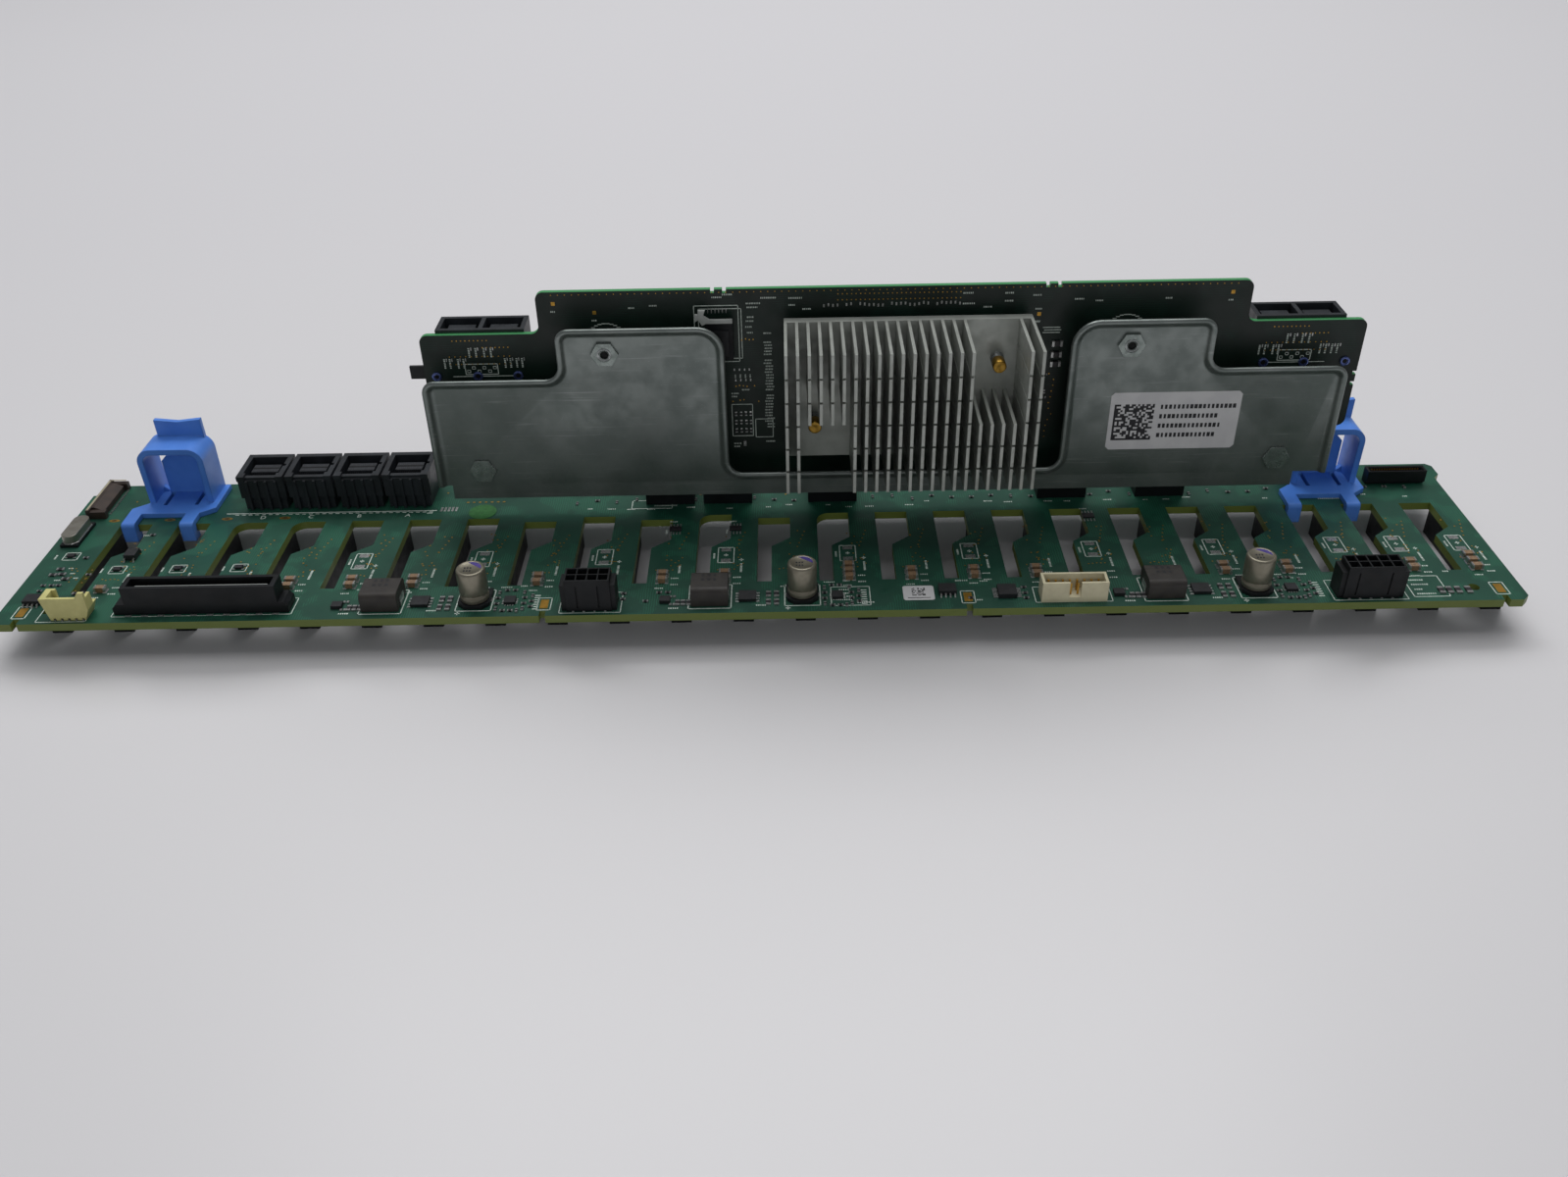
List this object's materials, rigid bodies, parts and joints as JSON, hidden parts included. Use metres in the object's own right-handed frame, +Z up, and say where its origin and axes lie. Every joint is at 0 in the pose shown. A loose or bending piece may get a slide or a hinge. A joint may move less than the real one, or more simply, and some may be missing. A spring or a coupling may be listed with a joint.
{
  "type": "drive backplane board",
  "caption": "Long backplane board with drive receptacles below, and an upright expander board with a heatsink and a steel bracket above.",
  "frame": {"origin": "centre of the main board's footprint, at the level of the drive receptacles' lower faces", "axes": "+X along the row of drive bays, +Y from the board's front edge to its rear edge, +Z up through the upright board"},
  "size_m": [0.4314, 0.0768, 0.0824],
  "materials": {
    "anodised_aluminium": "satin",
    "black_moulding": "fine matte",
    "blue_moulding": "smooth",
    "board_laminate": "satin solder mask",
    "brown_moulding": "matte",
    "capacitor_can": "satin",
    "ceramic": "fired ceramic",
    "chip_epoxy": "matte",
    "cream_moulding": "smooth",
    "crystal_can": "satin",
    "dark_laminate": "satin solder mask",
    "gilded_pins": "bright",
    "grey_moulding": "smooth",
    "inductor_core": "fine grain",
    "plated_steel": "zinc plated"
  },
  "bodies": {
    "root": {"backplane_board": "board_laminate", "board_chips": "chip_epoxy", "box_header": "black_moulding", "box_header_pins": "gilded_pins", "bracket_standoffs": "plated_steel", "cable_clip_left": "blue_moulding", "cable_clip_right": "blue_moulding", "cable_port_a": "black_moulding", "cable_port_b": "black_moulding", "cable_port_c": "black_moulding", "cable_port_d": "black_moulding", "capacitor_bases": "black_moulding", "capacitor_cans": "capacitor_can", "chip_capacitors": "ceramic", "controller_chip": "chip_epoxy", "crystal_base": "black_moulding", "drive_receptacle_01": "black_moulding", "drive_receptacle_02": "black_moulding", "drive_receptacle_03": "black_moulding", "drive_receptacle_04": "black_moulding", "drive_receptacle_05": "black_moulding", "drive_receptacle_06": "black_moulding", "drive_receptacle_07": "black_moulding", "drive_receptacle_08": "black_moulding", "drive_receptacle_09": "black_moulding", "drive_receptacle_10": "black_moulding", "drive_receptacle_11": "black_moulding", "drive_receptacle_12": "black_moulding", "drive_receptacle_13": "black_moulding", "drive_receptacle_14": "black_moulding", "drive_receptacle_15": "black_moulding", "drive_receptacle_16": "black_moulding", "drive_receptacle_17": "black_moulding", "drive_receptacle_18": "black_moulding", "drive_receptacle_19": "black_moulding", "drive_receptacle_20": "black_moulding", "drive_receptacle_21": "black_moulding", "drive_receptacle_22": "black_moulding", "drive_receptacle_23": "black_moulding", "drive_receptacle_24": "black_moulding", "expander_board": "dark_laminate", "expander_port_left": "black_moulding", "expander_port_right": "black_moulding", "heatsink": "anodised_aluminium", "link_headers": "black_moulding", "link_sockets": "black_moulding", "memory_latch": "grey_moulding", "memory_socket": "black_moulding", "power_header_10": "black_moulding", "power_header_8": "black_moulding", "power_inductors": "inductor_core", "ribbon_connector": "cream_moulding", "ribbon_flap": "brown_moulding", "sideband_connector": "black_moulding", "signal_header": "cream_moulding", "slot_connector": "black_moulding", "steel_bracket": "plated_steel", "timing_crystal": "crystal_can"}
  },
  "joints": []
}
